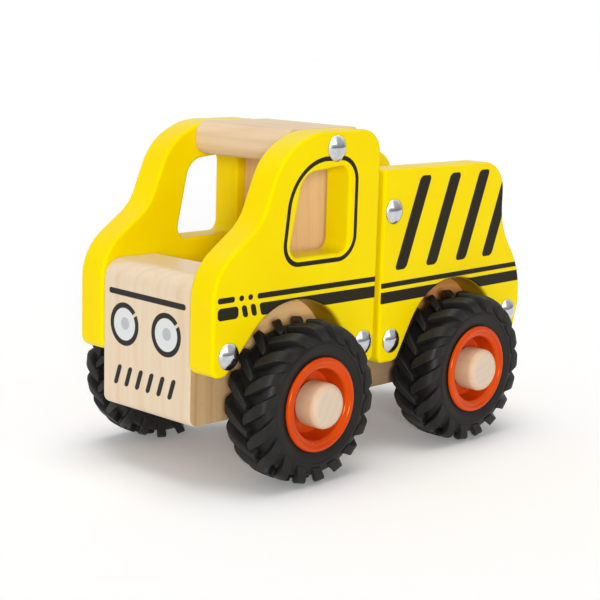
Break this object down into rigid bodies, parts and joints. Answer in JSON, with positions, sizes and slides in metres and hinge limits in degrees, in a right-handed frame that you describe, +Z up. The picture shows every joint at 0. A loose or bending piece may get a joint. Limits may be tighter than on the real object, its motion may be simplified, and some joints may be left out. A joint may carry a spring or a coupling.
{
  "type": "wooden toy truck",
  "caption": "Wooden push-along toy truck with lacquered side panels, an open cab, an open load bed and free-turning wheels with lugged rubber tyres.",
  "frame": {"origin": "on the ground, below the middle of the truck", "axes": "+X forward along the truck, +Y to its left side, +Z up"},
  "size_m": [0.168, 0.104, 0.1204],
  "materials": {
    "yellow_lacquer": "satin yellow lacquer on board",
    "natural_wood": "clear satin varnish",
    "pale_wood": "clear satin varnish",
    "tyre_rubber": "moulded black rubber",
    "orange_plastic": "glossy moulded orange plastic",
    "bright_zinc": "bright zinc plated, polished"
  },
  "bodies": {
    "truck": {"chassis_beam": "natural_wood", "hood_block": "pale_wood", "roof_block": "natural_wood", "cab_rear_wall": "natural_wood", "bed_headboard": "natural_wood", "cab_panel_left": "yellow_lacquer", "cab_panel_right": "yellow_lacquer", "bed_panel_left": "yellow_lacquer", "bed_panel_right": "yellow_lacquer", "cab_screws_left": "bright_zinc", "cab_screws_right": "bright_zinc", "bed_screws_left": "bright_zinc", "bed_screws_right": "bright_zinc", "front_axle": "natural_wood", "rear_axle": "natural_wood", "front_left_hub_cap": "pale_wood", "front_right_hub_cap": "pale_wood", "rear_left_hub_cap": "pale_wood", "rear_right_hub_cap": "pale_wood"},
    "front_left_wheel": {"front_left_rim": "orange_plastic", "front_left_tyre": "tyre_rubber"},
    "front_right_wheel": {"front_right_rim": "orange_plastic", "front_right_tyre": "tyre_rubber"},
    "rear_left_wheel": {"rear_left_rim": "orange_plastic", "rear_left_tyre": "tyre_rubber"},
    "rear_right_wheel": {"rear_right_rim": "orange_plastic", "rear_right_tyre": "tyre_rubber"}
  },
  "joints": [
    {"name": "front_left_wheel_spin", "type": "hinge", "parent": "truck", "child": "front_left_wheel", "pos_m": [0.0449, 0.03775, 0.0285], "axis": [0, 1, 0], "continuous": true},
    {"name": "front_right_wheel_spin", "type": "hinge", "parent": "truck", "child": "front_right_wheel", "pos_m": [0.0449, -0.03775, 0.0285], "axis": [0, 1, 0], "continuous": true},
    {"name": "rear_left_wheel_spin", "type": "hinge", "parent": "truck", "child": "rear_left_wheel", "pos_m": [-0.0413, 0.03775, 0.0285], "axis": [0, 1, 0], "continuous": true},
    {"name": "rear_right_wheel_spin", "type": "hinge", "parent": "truck", "child": "rear_right_wheel", "pos_m": [-0.0413, -0.03775, 0.0285], "axis": [0, 1, 0], "continuous": true}
  ]
}
